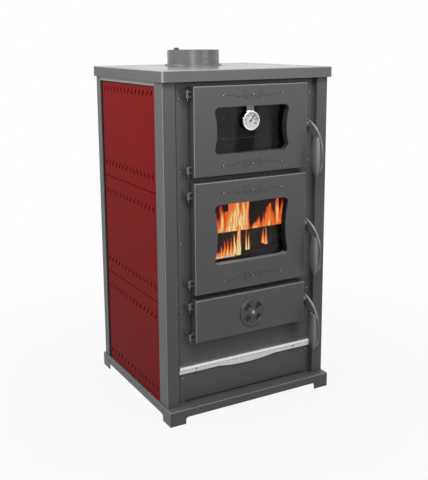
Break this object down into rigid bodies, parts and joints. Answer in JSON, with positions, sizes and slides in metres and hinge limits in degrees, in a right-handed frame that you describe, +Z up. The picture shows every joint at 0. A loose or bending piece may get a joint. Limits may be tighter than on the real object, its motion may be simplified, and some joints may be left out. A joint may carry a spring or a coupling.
{
  "type": "wood cookstove",
  "caption": "Wood-burning cookstove with an oven above the fire, an ash box, hinged doors with bow handles, red side panels and a steel hob with a flue collar.",
  "frame": {"origin": "on the floor under the middle of the whole object with its handles", "axes": "+Z up, front with the doors towards -Y, hinges on the -X side"},
  "size_m": [0.512, 0.5172, 0.97],
  "materials": {
    "grey_enamel": "satin",
    "red_enamel": "satin",
    "hob_steel": "brushed",
    "rail_steel": "brushed",
    "screw_steel": "plain",
    "black_sheet": "matte",
    "oven_enamel": "gloss",
    "rack_wire": "bright",
    "grate_iron": "rough",
    "firebrick": "matte",
    "window_glass": "clear",
    "rope_seal": "woven",
    "handle_enamel": "gloss",
    "bezel_chrome": "bright",
    "dial_paint": "matte",
    "needle_paint": "matte"
  },
  "bodies": {
    "stove": {"ash_floor": "black_sheet", "ash_pan": "black_sheet", "ash_pan_front": "black_sheet", "base_frame": "grey_enamel", "fire_grate": "grate_iron", "firebox_floor": "black_sheet", "firebrick_left": "firebrick", "firebrick_rear": "firebrick", "firebrick_right": "firebrick", "flue_collar": "grey_enamel", "front_plate": "grey_enamel", "front_post_left": "grey_enamel", "front_post_right": "grey_enamel", "front_screws": "screw_steel", "hinge_brackets": "grey_enamel", "hinge_pins": "screw_steel", "hob_plate": "hob_steel", "latch_keepers": "grey_enamel", "oven_box": "oven_enamel", "oven_rack": "rack_wire", "rear_panel": "black_sheet", "rear_post_left": "grey_enamel", "rear_post_right": "grey_enamel", "side_panel_left_lower": "red_enamel", "side_panel_left_middle": "red_enamel", "side_panel_left_upper": "red_enamel", "side_panel_right_lower": "red_enamel", "side_panel_right_middle": "red_enamel", "side_panel_right_upper": "red_enamel", "side_rail_left": "grey_enamel", "side_rail_right": "grey_enamel", "smoke_shell": "black_sheet", "trim_rail": "rail_steel"},
    "oven_door": {"oven_door_fasteners": "screw_steel", "oven_door_glass": "window_glass", "oven_door_liner": "grey_enamel", "oven_door_seal": "rope_seal", "oven_door_skin": "grey_enamel", "thermometer_case": "bezel_chrome", "thermometer_dial": "dial_paint", "thermometer_lens": "window_glass"},
    "thermometer_needle": {"thermometer_needle": "needle_paint"},
    "oven_handle": {"oven_handle_grip": "handle_enamel", "oven_handle_lever": "handle_enamel"},
    "fire_door": {"fire_door_fasteners": "screw_steel", "fire_door_glass": "window_glass", "fire_door_liner": "grey_enamel", "fire_door_seal": "rope_seal", "fire_door_skin": "grey_enamel"},
    "fire_handle": {"fire_handle_grip": "handle_enamel", "fire_handle_lever": "handle_enamel"},
    "ash_door": {"ash_door_fasteners": "screw_steel", "ash_door_liner": "grey_enamel", "ash_door_seal": "rope_seal", "ash_door_skin": "grey_enamel"},
    "ash_handle": {"ash_handle_grip": "handle_enamel", "ash_handle_lever": "handle_enamel"},
    "air_rosette": {"air_rosette": "grey_enamel"}
  },
  "joints": [
    {"name": "oven_door_swing", "type": "hinge", "parent": "stove", "child": "oven_door", "pos_m": [-0.183, -0.19191, 0.766], "axis": [0, 0, -1], "range_deg": [0, 120]},
    {"name": "oven_handle_lift", "type": "hinge", "parent": "oven_door", "child": "oven_handle", "pos_m": [0.1863, -0.19191, 0.766], "axis": [-1, 0, 0], "range_deg": [0, 35]},
    {"name": "fire_door_swing", "type": "hinge", "parent": "stove", "child": "fire_door", "pos_m": [-0.183, -0.19191, 0.49], "axis": [0, 0, -1], "range_deg": [0, 120]},
    {"name": "fire_handle_lift", "type": "hinge", "parent": "fire_door", "child": "fire_handle", "pos_m": [0.1863, -0.19191, 0.49], "axis": [-1, 0, 0], "range_deg": [0, 35]},
    {"name": "ash_door_swing", "type": "hinge", "parent": "stove", "child": "ash_door", "pos_m": [-0.183, -0.19191, 0.2705], "axis": [0, 0, -1], "range_deg": [0, 120]},
    {"name": "ash_handle_lift", "type": "hinge", "parent": "ash_door", "child": "ash_handle", "pos_m": [0.1863, -0.19191, 0.2705], "axis": [-1, 0, 0], "range_deg": [0, 35]},
    {"name": "air_rosette_turn", "type": "hinge", "parent": "ash_door", "child": "air_rosette", "pos_m": [0, -0.20771, 0.2705], "axis": [0, 1, 0], "range_deg": [0, 45]},
    {"name": "thermometer_needle_turn", "type": "hinge", "parent": "oven_door", "child": "thermometer_needle", "pos_m": [0, -0.19511, 0.787], "axis": [0, 1, 0], "range_deg": [-120, 120]}
  ]
}
